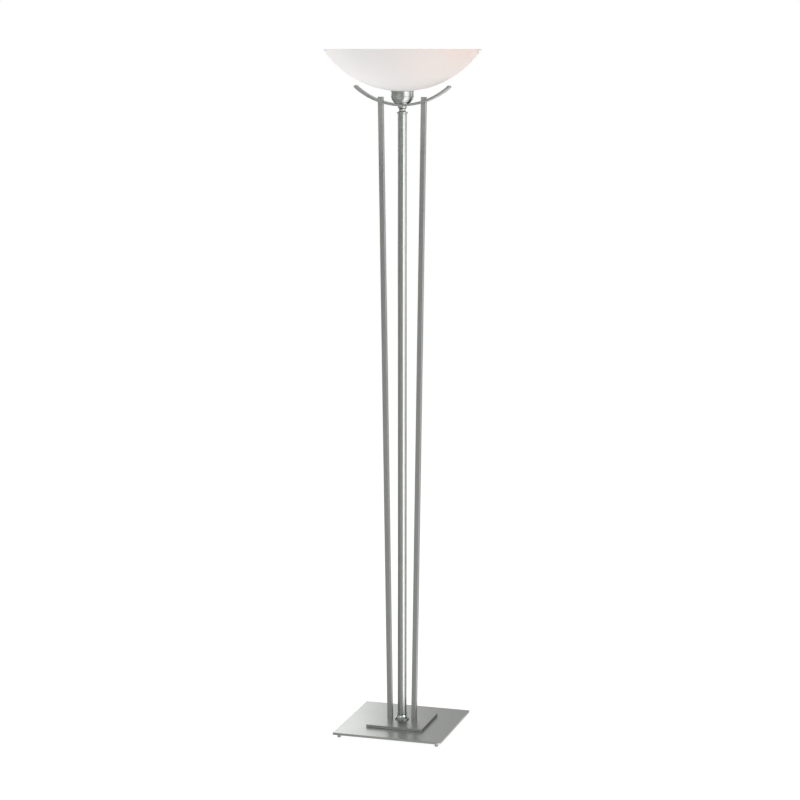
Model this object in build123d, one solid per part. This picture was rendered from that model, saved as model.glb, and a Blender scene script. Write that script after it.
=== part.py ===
"""Torchiere floor lamp: base plates, leaning bars, tube column, bent bow, cup and opal glass bowl."""

import math
import os

from build123d import *

# Base plates and feet, in millimetres
base_side = 292.0
base_thickness = 6.0
top_side = 152.0
top_thickness = 7.2
plate_edge_break = 0.5
foot_height = 9.0
foot_diameter = 9.8
foot_inset = 13.5
foot_edge_break = 0.5
foot_stud_diameter = 6.0
foot_stud_cover = 1.2
pad_diameter = 8.0
pad_thickness = 1.2
pad_stand = 0.4

# Column: tube, foot ring, neck and hollow rod
tube_diameter = 23.6
tube_wall = 1.5
tube_length = 1594.2
ring_foot_diameter = 37.6
ring_waist_diameter = 25.4
ring_top_diameter = 27.2
ring_height = 19.8
ring_lip_height = 2.4
ring_step = 0.8
ring_bead_height = 3.0
ring_hollow = 1.6
tube_ring_height = 8.0
neck_height = 20.7
neck_collar_diameter = 28.4
neck_collar_rise = 2.6
neck_collar_height = 3.2
neck_cove_diameter = 20.6
neck_waist_diameter = 16.8
neck_flange_diameter = 23.6
neck_flange_height = 4.5
neck_spigot_length = 10.0
rod_diameter = 10.0
rod_bore = 6.4

# Leaning bars and bow
bar_side = 12.7
bar_corner = 0.6
bar_foot_offset = 33.0
bar_bow_offset = 57.1
bar_stub = 11.6
bow_radius = 190.0
bow_half_angle = 41.35
bow_thickness = 6.3
bow_depth = 22.0
bow_edge_break = 0.5
bow_land = 0.45
bow_spotface = 0.1

# Cup under the bowl
cup_diameter = 59.0
cup_height = 32.0
cup_wall = 2.0
cup_floor = 2.4
cup_foot_diameter = 36.8
cup_lip_height = 2.0
cup_lip_step = 0.4
cup_bead_height = 3.0
cup_bead_level = 15.5
cup_tier_level = 8.6
cup_tier_diameter = 51.4
cup_tier_step = 2.2
cup_tier_bulge = 0.7
cup_foot_bulge = 0.8

# Opal glass bowl and what clamps it
bowl_radius = 244.8
bowl_rim_radius = 201.7
bowl_wall = 5.0
bowl_rim_round = 1.0
gasket_thickness = 0.8
ring_washer_thickness = 1.2
ring_washer_width = 7.4
shade_ring_height = 6.5
shade_ring_width = 8.0
shade_ring_travel = 5.0
shade_ring_notches = 12
shade_ring_notch_radius = 2.2

# Lampholder and bulb
bulb_cap_diameter = 26.0
bulb_cap_length = 21.0
bulb_cap_wall = 0.6
bulb_cap_level = 5.5
bulb_length = 108.0
bulb_diameter = 60.0
bulb_glass = 1.0
bulb_neck_insert = 6.0
bulb_neck_flare = 0.6
bulb_neck_slope = 0.1
bulb_shoulder_angle = 25.0
bulb_contact_diameter = 9.2
bulb_contact_height = 1.4
shell_wall = 0.5
shell_height = 22.0
shell_lip = 4.5
holder_wall = 3.9
holder_mouth_gap = 1.7
holder_thread_spare = 0.7
holder_depth = 27.2
core_thickness = 7.0
core_ledge = 0.9
cap_floor = 2.2
cap_wall = 4.5
rod_top_spare = 2.4
contact_height = 1.8
contact_strip = 0.5
contact_width = 5.0
terminal_offset = 9.0
terminal_head_diameter = 5.2
terminal_head_height = 1.8
terminal_shank_diameter = 3.0
terminal_shank_length = 4.0

# Fasteners and the cord's inlet
plate_screw_offset = 52.0
plate_screw_diameter = 5.0
plate_screw_cover = 2.0
bar_screw_diameter = 6.0
bar_screw_reach = 14.0
screw_head_ratio = 1.9
screw_head_sink = 0.3
socket_ratio = 0.55
tap_spare = 2.0
set_screw_diameter = 4.0
set_screw_sink = 0.3
nut_across_flats = 15.0
rod_nut_thickness = 4.5
cup_nut_thickness = 4.0
rod_washer_diameter = 24.0
rod_washer_thickness = 1.5
cup_washer_diameter = 24.0
cup_washer_thickness = 1.2
rod_end_spare = 0.5
nut_room = 2.0
bushing_flange_diameter = 14.0
bushing_flange_thickness = 1.2
bushing_barrel_length = 6.0
bushing_bore = 4.8

# Clearances, all radial or on one side
slip_fit = 0.05
thread_fit = 0.03
bolt_clearance = 0.3
mortise_fit = 0.1
seat_gap = 0.1
bulb_gap = 0.4
bowl_hole_gap = 1.0


def arc_rise(radius, at):
    """Height of a round hollow above its lowest point, at a distance from the axis."""
    return radius - math.sqrt(radius**2 - at**2)


# Levels above the floor, built up piece by piece
base_bottom = foot_height
base_top = base_bottom + base_thickness
deck = base_top + top_thickness
neck_bottom = deck + tube_length
neck_top = neck_bottom + neck_height
bow_mid = neck_top - bow_land + bow_thickness / 2
bow_centre = bow_mid + bow_radius
cup_bottom = bow_mid + bow_thickness / 2 - bow_spotface
cup_floor_top = cup_bottom + cup_floor
cup_top = cup_bottom + cup_height

# The cup's foot is straight until it clears the seat sunk in the bow
bow_inner = bow_radius - bow_thickness / 2
bow_outer = bow_radius + bow_thickness / 2
cup_seat_radius = cup_foot_diameter / 2 + bolt_clearance
cup_foot_rise = bow_spotface + arc_rise(bow_inner, cup_seat_radius) + bolt_clearance

# Radii that several pieces share
tube_radius = tube_diameter / 2
tube_inner = tube_radius - tube_wall
rod_radius = rod_diameter / 2
rod_hole = rod_radius + bolt_clearance
cup_radius = cup_diameter / 2
cup_inner = cup_radius - cup_wall
lamp_shell_inner = bulb_cap_diameter / 2 + bulb_gap
lamp_shell_outer = lamp_shell_inner + shell_wall
holder_inner = lamp_shell_outer + holder_mouth_gap
holder_radius = holder_inner + holder_wall
core_radius = holder_inner + core_ledge
bowl_hole = holder_radius + bowl_hole_gap
foot_offset = base_side / 2 - foot_inset
foot_stud_length = base_thickness - foot_stud_cover - bolt_clearance
plate_screw_reach = top_thickness - plate_screw_cover

# Where the bowl sits: its outer face rests on the gasket at the cup's mean rim radius
gasket_radius = (cup_inner + cup_radius) / 2
bowl_pole = cup_top + gasket_thickness - arc_rise(bowl_radius, gasket_radius)
bowl_centre = bowl_pole + bowl_radius
bowl_inner_radius = bowl_radius - bowl_wall
bowl_rim = bowl_pole + arc_rise(bowl_radius, bowl_rim_radius)

# Lampholder levels, hung from the clamp ring inside the bowl
washer_outer = bowl_hole + ring_washer_width
washer_seat = bowl_pole + bowl_wall + arc_rise(bowl_inner_radius, washer_outer)
washer_top = washer_seat + ring_washer_thickness
shade_ring_top = washer_top + shade_ring_height
holder_top = shade_ring_top + shade_ring_travel + holder_thread_spare
core_top = holder_top - holder_depth
core_bottom = core_top - core_thickness
cup_nut_top = cup_floor_top + cup_washer_thickness + cup_nut_thickness
rod_top = cup_nut_top + cap_floor + rod_top_spare
bulb_bottom = core_top + contact_height + seat_gap
rod_nut_bottom = base_top - rod_washer_thickness - rod_nut_thickness
rod_bottom = rod_nut_bottom - rod_end_spare

# Bars: straight from the deck to where they cross the bow
bar_cross = bow_centre - math.sqrt(bow_radius**2 - bar_bow_offset**2)
bar_lean = math.degrees(math.atan2(bar_bow_offset - bar_foot_offset, bar_cross - deck))
bar_run = math.hypot(bar_bow_offset - bar_foot_offset, bar_cross - deck)
bar_length = bar_run + bar_stub

upright = (Align.CENTER, Align.CENTER, Align.MIN)


def disc(radius, bottom, height):
    """Upright cylinder on the lamp's axis."""
    return Pos(0, 0, bottom) * Cylinder(radius, height, align=upright)


def washer(outer, inner, bottom, height):
    """Flat ring or length of tube on the lamp's axis."""
    return disc(outer, bottom, height) - disc(inner, bottom, height)


def turned(*outline):
    """Solid turned about the lamp's axis from a closed outline of radius and height."""
    return revolve(Plane.XZ * make_face(outline), Axis.Z)


def sides(offset_x, offset_y):
    """The four mirrored places round the lamp's axis."""
    return [(x, y) for x in (-offset_x, offset_x) for y in (-offset_y, offset_y)]


def plate(side, bottom, thickness):
    """Square plate with its sharp edges broken."""
    body = Pos(0, 0, bottom) * Box(side, side, thickness, align=upright)
    return chamfer(body.edges(), plate_edge_break)


def screw_head_radius(diameter):
    """Outer radius of a countersunk head for a screw size."""
    return diameter * screw_head_ratio / 2


def countersunk_screw(diameter, length):
    """Countersunk socket screw pointing up, with its head's face at height zero."""
    head = screw_head_radius(diameter)
    cone = Cone(head, diameter / 2, head - diameter / 2, align=upright)
    shank = Cylinder(diameter / 2, length, align=upright)
    socket = extrude(RegularPolygon(diameter * socket_ratio / 2, 6), head - diameter / 2)
    return cone + shank - socket


def countersunk_hole(diameter, length):
    """Clearance hole that takes a countersunk screw from below, with its mouth at height zero."""
    head = screw_head_radius(diameter) + bolt_clearance
    cone_height = screw_head_radius(diameter) - diameter / 2
    mouth = Cylinder(head, screw_head_sink, align=upright)
    cone = Cone(head, diameter / 2 + bolt_clearance, cone_height, align=upright)
    bore = Cylinder(diameter / 2 + bolt_clearance, length, align=upright)
    return mouth + Pos(0, 0, screw_head_sink) * cone + bore


def hex_nut(bottom, thickness):
    """Thin hexagon nut on the hollow rod."""
    hexagon = RegularPolygon(nut_across_flats / 2, 6, major_radius=False)
    blank = Pos(0, 0, bottom) * extrude(hexagon, thickness)
    return blank - disc(rod_radius + thread_fit, bottom, thickness)


def make_base_plate():
    """Large thin plate, open in the middle for the rod's nut, drilled for feet and screws."""
    body = plate(base_side, base_bottom, base_thickness)
    body -= disc(rod_washer_diameter / 2 + nut_room, base_bottom, base_thickness)
    tapped = Cylinder(foot_stud_diameter / 2 + slip_fit, foot_stud_length + bolt_clearance, align=upright)
    for x, y in sides(foot_offset, foot_offset):
        body -= Pos(x, y, base_bottom) * tapped
    for x, y in sides(plate_screw_offset, plate_screw_offset):
        body -= Pos(x, y, base_bottom) * countersunk_hole(plate_screw_diameter, base_thickness)
    for x in (-bar_foot_offset, bar_foot_offset):
        body -= Pos(x, 0, base_bottom) * countersunk_hole(bar_screw_diameter, base_thickness)
    return body


def make_top_plate():
    """Small thick plate that carries the column and the bars."""
    body = plate(top_side, base_top, top_thickness)
    body -= disc(rod_hole, base_top, top_thickness)
    tapped_depth = plate_screw_reach + bolt_clearance
    tapped = Cylinder(plate_screw_diameter / 2 + thread_fit, tapped_depth, align=upright)
    for x, y in sides(plate_screw_offset, plate_screw_offset):
        body -= Pos(x, y, base_top) * tapped
    through = Cylinder(bar_screw_diameter / 2 + bolt_clearance, top_thickness, align=upright)
    for x in (-bar_foot_offset, bar_foot_offset):
        body -= Pos(x, 0, base_top) * through
    return body


def make_foot(x, y):
    """Turned screw-in foot with a stud above and a recess for its pad below."""
    body = disc(foot_diameter / 2, pad_stand, foot_height - pad_stand)
    body = chamfer(body.edges().group_by(Axis.Z)[0], foot_edge_break)
    body += disc(foot_stud_diameter / 2, foot_height, foot_stud_length)
    body -= disc(pad_diameter / 2 + slip_fit, pad_stand, pad_thickness - pad_stand)
    return Pos(x, y, 0) * body


def make_pad(x, y):
    """Plastic glide pad let into a foot."""
    body = disc(pad_diameter / 2, 0, pad_thickness)
    return Pos(x, y, 0) * body


def make_plate_screws():
    """Four screws that hold the top plate down on the base plate."""
    length = base_thickness - screw_head_sink + plate_screw_reach
    screw = countersunk_screw(plate_screw_diameter, length)
    level = base_bottom + screw_head_sink
    return [Pos(x, y, level) * screw for x, y in sides(plate_screw_offset, plate_screw_offset)]


def make_bar_screws():
    """Two screws from below, through both plates, into the feet of the bars."""
    length = deck - base_bottom - screw_head_sink + bar_screw_reach
    screw = countersunk_screw(bar_screw_diameter, length)
    level = base_bottom + screw_head_sink
    return [Pos(x, 0, level) * screw for x in (-bar_foot_offset, bar_foot_offset)]


def bar_place(side):
    """Frame at a bar's foot, with its upright axis along the leaning bar."""
    return Pos(side * bar_foot_offset, 0, deck) * Rot(0, side * bar_lean, 0)


def bar_prism(side, grow, start, end):
    """Square prism along a bar's axis, wider than the bar by a clearance all round."""
    width = bar_side + 2 * grow
    section = RectangleRounded(width, width, bar_corner + grow)
    return bar_place(side) * Pos(0, 0, start) * extrude(section, end - start)


def make_bar(side):
    """Leaning square bar, cut level at its foot and square at its top, tapped for its screw."""
    body = bar_prism(side, 0, -bar_side, bar_length)
    top = body.faces().sort_by(Axis.Z)[-1]
    body = chamfer(top.edges(), bar_corner)
    body = split(body, Plane.XY.offset(deck), keep=Keep.TOP)
    tapped = Cylinder(bar_screw_diameter / 2 + thread_fit, bar_screw_reach + tap_spare, align=upright)
    return body - Pos(side * bar_foot_offset, 0, deck) * tapped


def make_centre_tube():
    """Round tube of the column."""
    return washer(tube_radius, tube_inner, deck, tube_length)


def make_foot_ring():
    """Flared ring that dresses the tube's foot: a lip, a small step, a hollow flank and a bead on top."""
    foot = ring_foot_diameter / 2
    waist = ring_waist_diameter / 2
    top = ring_top_diameter / 2
    bore = tube_radius + slip_fit
    lip = deck + ring_lip_height
    shoulder = foot - ring_step
    step = lip + ring_step / 2
    end = deck + ring_height
    bead = end - ring_bead_height
    flank_middle = ((shoulder + waist) / 2 - ring_hollow, (step + bead) / 2 - ring_hollow)
    bead_middle = (top, (bead + end) / 2)
    return turned(
        Polyline((waist, end), (bore, end), (bore, deck), (foot, deck), (foot, lip), (shoulder, step)),
        ThreePointArc((shoulder, step), flank_middle, (waist, bead)),
        ThreePointArc((waist, bead), bead_middle, (waist, end)),
    )


def make_tube_ring():
    """Centring ring between the hollow rod and the foot of the tube."""
    return washer(tube_inner - slip_fit, rod_radius + slip_fit, deck, tube_ring_height)


def make_neck():
    """Turned coupling: spigot, flared collar, hollow waist and top flange, bored for the rod."""
    bore = rod_radius + slip_fit
    spigot = tube_inner - slip_fit
    collar = neck_collar_diameter / 2
    flange = neck_flange_diameter / 2
    waist = neck_waist_diameter / 2
    rise = neck_bottom + neck_collar_rise
    collar_top = rise + neck_collar_height
    flange_bottom = neck_top - neck_flange_height
    cove_low = (neck_cove_diameter / 2, collar_top)
    cove_high = (flange, flange_bottom)
    cove_middle = (waist, (collar_top + flange_bottom) / 2)
    below = neck_bottom - neck_spigot_length
    return turned(
        Polyline(
            cove_high, (flange, neck_top), (bore, neck_top), (bore, below), (spigot, below),
            (spigot, neck_bottom), (tube_radius, neck_bottom), (collar, rise), (collar, collar_top),
            cove_low,
        ),
        ThreePointArc(cove_low, cove_middle, cove_high),
    )


def make_tie_rod():
    """Hollow threaded rod that draws the column together and carries the wires."""
    return washer(rod_radius, rod_bore / 2, rod_bottom, rod_top - rod_bottom)


def make_rod_washer():
    """Plain washer under the top plate."""
    bottom = base_top - rod_washer_thickness
    return washer(rod_washer_diameter / 2, rod_hole, bottom, rod_washer_thickness)


def make_cord_bushing():
    """Flanged insulating bush in the rod's lower end, where the cord goes in."""
    bottom = rod_bottom - bushing_flange_thickness
    flange = disc(bushing_flange_diameter / 2, bottom, bushing_flange_thickness)
    barrel = disc(rod_bore / 2 - slip_fit, rod_bottom, bushing_barrel_length)
    length = bushing_flange_thickness + bushing_barrel_length
    return flange + barrel - disc(bushing_bore / 2, bottom, length)


def make_bow():
    """Flat strip bent to an arc, with seats for neck and cup, leaning mortises and set screw holes."""
    angle = math.radians(bow_half_angle)

    def on_arc(radius, turn):
        return (radius * math.sin(turn), bow_centre - radius * math.cos(turn))

    outline = [
        ThreePointArc(on_arc(bow_outer, -angle), on_arc(bow_outer, 0), on_arc(bow_outer, angle)),
        Line(on_arc(bow_outer, angle), on_arc(bow_inner, angle)),
        ThreePointArc(on_arc(bow_inner, angle), on_arc(bow_inner, 0), on_arc(bow_inner, -angle)),
        Line(on_arc(bow_inner, -angle), on_arc(bow_outer, -angle)),
    ]
    body = extrude(Plane.XZ * make_face(outline), bow_depth / 2, both=True)
    body = chamfer(body.edges(), bow_edge_break)
    body = split(body, Plane.XY.offset(neck_top), keep=Keep.TOP)
    body -= disc(cup_seat_radius, cup_bottom, bow_thickness)
    body -= disc(rod_hole, neck_top, 2 * bow_thickness)
    for side in (-1, 1):
        body -= bar_prism(side, mortise_fit, bar_run - 2 * bow_thickness, bar_run + 2 * bow_thickness)
        hole = Cylinder(set_screw_diameter / 2 + thread_fit, bow_depth / 2, align=upright)
        body -= Pos(side * bar_bow_offset, 0, bar_cross) * Rot(-90, 0, 0) * hole
    return body


def make_bow_set_screws():
    """Two socket set screws in the bow's back edge, one against each bar."""
    length = (bow_depth - bar_side) / 2 - set_screw_sink - mortise_fit / 2
    start = bow_depth / 2 - set_screw_sink - length
    hexagon = RegularPolygon(set_screw_diameter * socket_ratio / 2, 6)
    screw = Cylinder(set_screw_diameter / 2, length, align=upright)
    screw -= Pos(0, 0, length / 2) * extrude(hexagon, length)
    return [Pos(side * bar_bow_offset, start, bar_cross) * Rot(-90, 0, 0) * screw for side in (-1, 1)]


def make_cup():
    """Turned cup: lip, straight wall, shoulder bead and two swelling tiers down to a flat foot."""
    wall = cup_radius - cup_lip_step
    foot = cup_foot_diameter / 2
    tier = cup_tier_diameter / 2
    bead_low = cup_bottom + cup_bead_level
    bead_high = bead_low + cup_bead_height
    lip_low = cup_top - cup_lip_height
    tier_level = cup_bottom + cup_tier_level
    upper_start = (cup_radius - cup_tier_step, bead_low)
    upper_end = (tier, tier_level)
    upper_middle = (
        (upper_start[0] + upper_end[0]) / 2 + cup_tier_bulge,
        (upper_start[1] + upper_end[1]) / 2 - cup_tier_bulge,
    )
    lower_start = (tier - cup_tier_step / 2, tier_level)
    lower_end = (foot, cup_bottom + cup_foot_rise)
    lower_middle = (
        (lower_start[0] + lower_end[0]) / 2 + cup_foot_bulge,
        (lower_start[1] + lower_end[1]) / 2 - cup_foot_bulge,
    )
    inner_foot = foot - cup_wall
    return turned(
        Polyline(
            lower_end, (foot, cup_bottom), (rod_hole, cup_bottom), (rod_hole, cup_floor_top),
            (inner_foot, cup_floor_top),
            (cup_inner - cup_tier_step, bead_low), (cup_inner, bead_high), (cup_inner, cup_top),
            (cup_radius, cup_top), (cup_radius, lip_low), (wall, lip_low - cup_lip_step), (wall, bead_high),
            (cup_radius, bead_high - cup_lip_step), (cup_radius, bead_low), upper_start,
        ),
        ThreePointArc(upper_start, upper_middle, upper_end),
        Line(upper_end, lower_start),
        ThreePointArc(lower_start, lower_middle, lower_end),
    )


def make_cup_washer():
    """Plain washer on the cup's floor."""
    return washer(cup_washer_diameter / 2, rod_hole, cup_floor_top, cup_washer_thickness)


def make_bowl_gasket():
    """Thin ring on the cup's rim, dished to the bowl's outer face."""
    rise_in = bowl_pole + arc_rise(bowl_radius, cup_inner) - seat_gap
    rise_out = bowl_pole + arc_rise(bowl_radius, cup_radius) - seat_gap
    return turned(
        Polyline(
            (cup_inner, cup_top), (cup_radius, cup_top), (cup_radius, rise_out), (cup_inner, rise_in),
            close=True,
        )
    )


def make_bowl():
    """Glass bowl of even wall, cut level at the rim, with a hole for the lampholder."""

    def outside(at):
        return (at, bowl_pole + arc_rise(bowl_radius, at))

    def inside(at):
        return (at, bowl_pole + bowl_wall + arc_rise(bowl_inner_radius, at))

    rim_inner = math.sqrt(bowl_inner_radius**2 - (bowl_centre - bowl_rim) ** 2)
    half = bowl_rim_radius / 2
    body = turned(
        ThreePointArc(outside(bowl_hole), outside(half), outside(bowl_rim_radius)),
        Line((bowl_rim_radius, bowl_rim), (rim_inner, bowl_rim)),
        ThreePointArc((rim_inner, bowl_rim), inside(half), inside(bowl_hole)),
        Line(inside(bowl_hole), outside(bowl_hole)),
    )
    return fillet(body.edges().group_by(Axis.Z)[-1], bowl_rim_round)


def make_ring_washer():
    """Soft washer inside the bowl, flat above and dished below."""
    seat_in = bowl_pole + bowl_wall + arc_rise(bowl_inner_radius, bowl_hole) + seat_gap
    seat_out = washer_seat + seat_gap
    return turned(
        Polyline(
            (bowl_hole, seat_in), (washer_outer, seat_out), (washer_outer, washer_top),
            (bowl_hole, washer_top), close=True,
        )
    )


def make_shade_ring():
    """Notched ring that screws down the lampholder's skirt onto the bowl."""
    inner = holder_radius + slip_fit
    outer = inner + shade_ring_width
    body = washer(outer, inner, washer_top, shade_ring_height)
    notch = disc(shade_ring_notch_radius, washer_top, shade_ring_height)
    for step in range(shade_ring_notches):
        turn = Rot(0, 0, step * 360 / shade_ring_notches)
        body -= turn * Pos(outer + shade_ring_notch_radius / 2, 0, 0) * notch
    return body


def make_holder_cap():
    """Lower shell of the lampholder, screwed on the rod's top end."""
    body = disc(holder_radius, cup_nut_top, core_bottom - cup_nut_top)
    body -= disc(holder_radius - cap_wall, cup_nut_top + cap_floor, core_bottom - cup_nut_top)
    return body - disc(rod_radius + thread_fit, cup_nut_top, cap_floor)


def make_holder_skirt():
    """Threaded upper shell of the lampholder, holding the core down by an inner ledge."""
    body = disc(holder_radius, core_bottom, holder_top - core_bottom)
    body -= disc(core_radius + slip_fit, core_bottom, core_thickness)
    return body - disc(holder_inner, core_top, holder_top - core_top)


def make_holder_core():
    """Ceramic disc that carries the shell, the contact and the terminals."""
    body = disc(core_radius, core_bottom, core_thickness)
    for x in (-terminal_offset, terminal_offset):
        tapped = Cylinder(terminal_shank_diameter / 2 + thread_fit, terminal_shank_length, align=upright)
        body -= Pos(x, 0, core_bottom) * tapped
    return body


def make_screw_shell():
    """Thin metal shell that takes the bulb's cap, with a lip that rests on the core."""
    body = disc(lamp_shell_outer, core_top, shell_height)
    body -= disc(lamp_shell_inner, core_top + shell_wall, shell_height)
    return body - disc(lamp_shell_inner - shell_lip, core_top, shell_wall)


def make_centre_contact():
    """Bent spring strip: foot on the core, riser and tongue under the bulb's contact."""
    half = contact_width / 2
    foot = Pos(0, 0, core_top) * Box(contact_width, contact_width, contact_strip, align=upright)
    riser = Pos(-half, 0, core_top) * Box(
        contact_strip, contact_width, contact_height, align=(Align.MIN, Align.CENTER, Align.MIN)
    )
    tongue = Pos(0, 0, core_top + contact_height - contact_strip) * Box(
        contact_width, contact_width, contact_strip, align=upright
    )
    return foot + riser + tongue


def make_terminal_screws():
    """Two binding screws under the core."""
    head = Pos(0, 0, -terminal_head_height) * Cylinder(
        terminal_head_diameter / 2, terminal_head_height, align=upright
    )
    screw = head + Cylinder(terminal_shank_diameter / 2, terminal_shank_length, align=upright)
    return [Pos(x, 0, core_bottom) * screw for x in (-terminal_offset, terminal_offset)]


def globe_outline(shrink):
    """Radius and height points of the bulb's glass, drawn in by a wall: neck, tangent point, crown."""
    sphere = bulb_diameter / 2
    middle = bulb_bottom + bulb_length - sphere
    lean = math.radians(bulb_shoulder_angle)
    cap_top = bulb_bottom + bulb_cap_level + bulb_cap_length
    neck = (bulb_cap_diameter / 2 + bulb_neck_flare - shrink, cap_top)
    shoulder = ((sphere - shrink) * math.cos(lean), middle - (sphere - shrink) * math.sin(lean))
    crown = (0, middle + sphere - shrink)
    side = ((sphere - shrink) * math.cos(lean), middle + (sphere - shrink) * math.sin(lean))
    flank = Spline(neck, shoulder, tangents=[(bulb_neck_slope, 1), (math.sin(lean), math.cos(lean))])
    dome = ThreePointArc(shoulder, side, crown)
    return neck, flank, dome, crown


def make_bulb_globe():
    """Thin glass globe with a straight neck let into the cap."""
    neck_out, flank_out, dome_out, crown_out = globe_outline(0)
    neck_in, flank_in, dome_in, crown_in = globe_outline(bulb_glass)
    neck_tube = bulb_cap_diameter / 2 - bulb_cap_wall - slip_fit
    tube_end = neck_out[1] - bulb_neck_insert
    return turned(
        flank_out, dome_out, Line(crown_out, crown_in), dome_in, flank_in,
        Polyline(
            neck_in, (neck_tube - bulb_glass, neck_in[1] - bulb_glass), (neck_tube - bulb_glass, tube_end),
            (neck_tube, tube_end), (neck_tube, neck_out[1]), neck_out,
        ),
    )


def make_bulb_cap():
    """Thin screw cap of the bulb."""
    radius = bulb_cap_diameter / 2
    return washer(radius, radius - bulb_cap_wall, bulb_bottom + bulb_cap_level, bulb_cap_length)


def make_bulb_insulator():
    """Dark glass cone that closes the cap's lower end."""
    inside = bulb_cap_diameter / 2 - bulb_cap_wall - slip_fit
    tip = bulb_contact_diameter / 2 + bulb_cap_wall
    low = bulb_bottom + bulb_contact_height
    rim = bulb_bottom + bulb_cap_level
    top = rim + bulb_contact_height
    return turned(Polyline((0, low), (tip, low), (inside, rim), (inside, top), (0, top), close=True))


def make_bulb_contact():
    """Small contact button at the bulb's tip."""
    body = disc(bulb_contact_diameter / 2, bulb_bottom, bulb_contact_height)
    return chamfer(body.edges().group_by(Axis.Z)[0], bulb_contact_height / 2)


pieces = {
    "base_plate": make_base_plate(),
    "top_plate": make_top_plate(),
    "plate_screws": make_plate_screws(),
    "bar_screws": make_bar_screws(),
    "left_bar": make_bar(-1),
    "right_bar": make_bar(1),
    "centre_tube": make_centre_tube(),
    "foot_ring": make_foot_ring(),
    "tube_ring": make_tube_ring(),
    "neck": make_neck(),
    "tie_rod": make_tie_rod(),
    "rod_washer": make_rod_washer(),
    "rod_nut": hex_nut(rod_nut_bottom, rod_nut_thickness),
    "cord_bushing": make_cord_bushing(),
    "bow": make_bow(),
    "bow_set_screws": make_bow_set_screws(),
    "cup": make_cup(),
    "cup_washer": make_cup_washer(),
    "cup_nut": hex_nut(cup_nut_top - cup_nut_thickness, cup_nut_thickness),
    "bowl_gasket": make_bowl_gasket(),
    "bowl": make_bowl(),
    "ring_washer": make_ring_washer(),
    "shade_ring": make_shade_ring(),
    "holder_cap": make_holder_cap(),
    "holder_skirt": make_holder_skirt(),
    "holder_core": make_holder_core(),
    "screw_shell": make_screw_shell(),
    "centre_contact": make_centre_contact(),
    "terminal_screws": make_terminal_screws(),
    "bulb_globe": make_bulb_globe(),
    "bulb_cap": make_bulb_cap(),
    "bulb_insulator": make_bulb_insulator(),
    "bulb_contact": make_bulb_contact(),
}
corners = {
    "front_left": (-foot_offset, -foot_offset),
    "front_right": (foot_offset, -foot_offset),
    "back_left": (-foot_offset, foot_offset),
    "back_right": (foot_offset, foot_offset),
}
for corner, (x, y) in corners.items():
    pieces[f"foot_{corner}"] = make_foot(x, y)
    pieces[f"glide_pad_{corner}"] = make_pad(x, y)

os.makedirs("parts", exist_ok=True)
for name, piece in pieces.items():
    shape = Compound(piece) if isinstance(piece, list) else piece
    export_step(shape, f"parts/{name}.step")
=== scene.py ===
"""Torchiere floor lamp: turned and threaded pieces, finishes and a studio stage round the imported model."""

import math

import bpy
from bpy.props import FloatProperty, FloatVectorProperty, IntProperty, PointerProperty
from mathutils import Matrix, Vector


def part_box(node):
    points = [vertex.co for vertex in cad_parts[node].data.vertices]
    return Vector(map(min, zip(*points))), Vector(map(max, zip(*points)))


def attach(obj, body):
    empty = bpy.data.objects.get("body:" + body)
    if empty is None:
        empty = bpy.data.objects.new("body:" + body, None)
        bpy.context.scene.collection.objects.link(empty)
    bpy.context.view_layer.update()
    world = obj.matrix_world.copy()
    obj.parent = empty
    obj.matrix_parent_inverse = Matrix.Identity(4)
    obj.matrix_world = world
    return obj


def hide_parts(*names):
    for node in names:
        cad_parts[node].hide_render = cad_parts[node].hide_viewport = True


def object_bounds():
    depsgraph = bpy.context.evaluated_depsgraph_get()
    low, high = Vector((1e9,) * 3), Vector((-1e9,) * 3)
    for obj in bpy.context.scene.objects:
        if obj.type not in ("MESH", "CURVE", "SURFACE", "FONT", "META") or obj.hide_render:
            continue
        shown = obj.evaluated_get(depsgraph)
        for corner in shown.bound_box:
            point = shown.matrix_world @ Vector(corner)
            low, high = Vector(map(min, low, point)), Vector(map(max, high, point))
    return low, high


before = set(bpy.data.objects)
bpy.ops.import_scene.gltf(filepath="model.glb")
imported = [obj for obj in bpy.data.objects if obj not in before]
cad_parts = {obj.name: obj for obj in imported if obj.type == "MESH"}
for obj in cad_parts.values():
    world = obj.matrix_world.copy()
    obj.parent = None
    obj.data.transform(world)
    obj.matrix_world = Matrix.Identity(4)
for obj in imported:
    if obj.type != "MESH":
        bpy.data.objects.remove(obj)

bl_info = {
    "name": "Torchiere floor lamp",
    "version": (1, 0, 0),
    "blender": (4, 5, 0),
    "location": "View3D > Sidebar > Torchiere",
    "description": "Dresses the packed floor lamp with turned pieces, threads, finishes and a studio stage",
    "category": "Object",
}

MM = 0.001
FULL_TURN = 2 * math.pi
CAD_LOW, CAD_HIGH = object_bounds()
CORNERS = ("front_left", "front_right", "back_left", "back_right")

# Lathe: radius of the path that a profile is swept round, and the reach within which points are one
TURNING_PATH = 0.01 * MM
WELD = 0.02 * MM
ON_AXIS = 0.0001 * MM
# Inputs of the lathe by their kind
TURNED_INPUTS = {
    "Geometry": ("Profile",),
    "Int": ("Segments",),
    "Float": ("Pitch", "Depth", "Thread start", "Thread end", "Thread radius", "Sharpness"),
    "Material": ("Material",),
}
# Outline corners sharper than the first are rounded, and faces that meet below the second are shaded as one
SHARP_ABOVE = math.radians(20)
SMOOTH_BELOW = math.radians(35)
# Steps along an arc, a rounded corner, the bowl's wall, and one turn of a cut or rolled thread
ARC_STEPS = 20
CORNER_STEPS = 5
WALL_STEPS = 64
CUT_STEPS = 8
ROLLED_STEPS = 12
# Largest share of a straight run that one rounded corner takes
CORNER_SHARE = 0.45
# The globe's neck: how far its curve's handles reach, and how far it flares
GLOBE_PULL, GLOBE_FLARE = 0.4, 0.1
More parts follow.
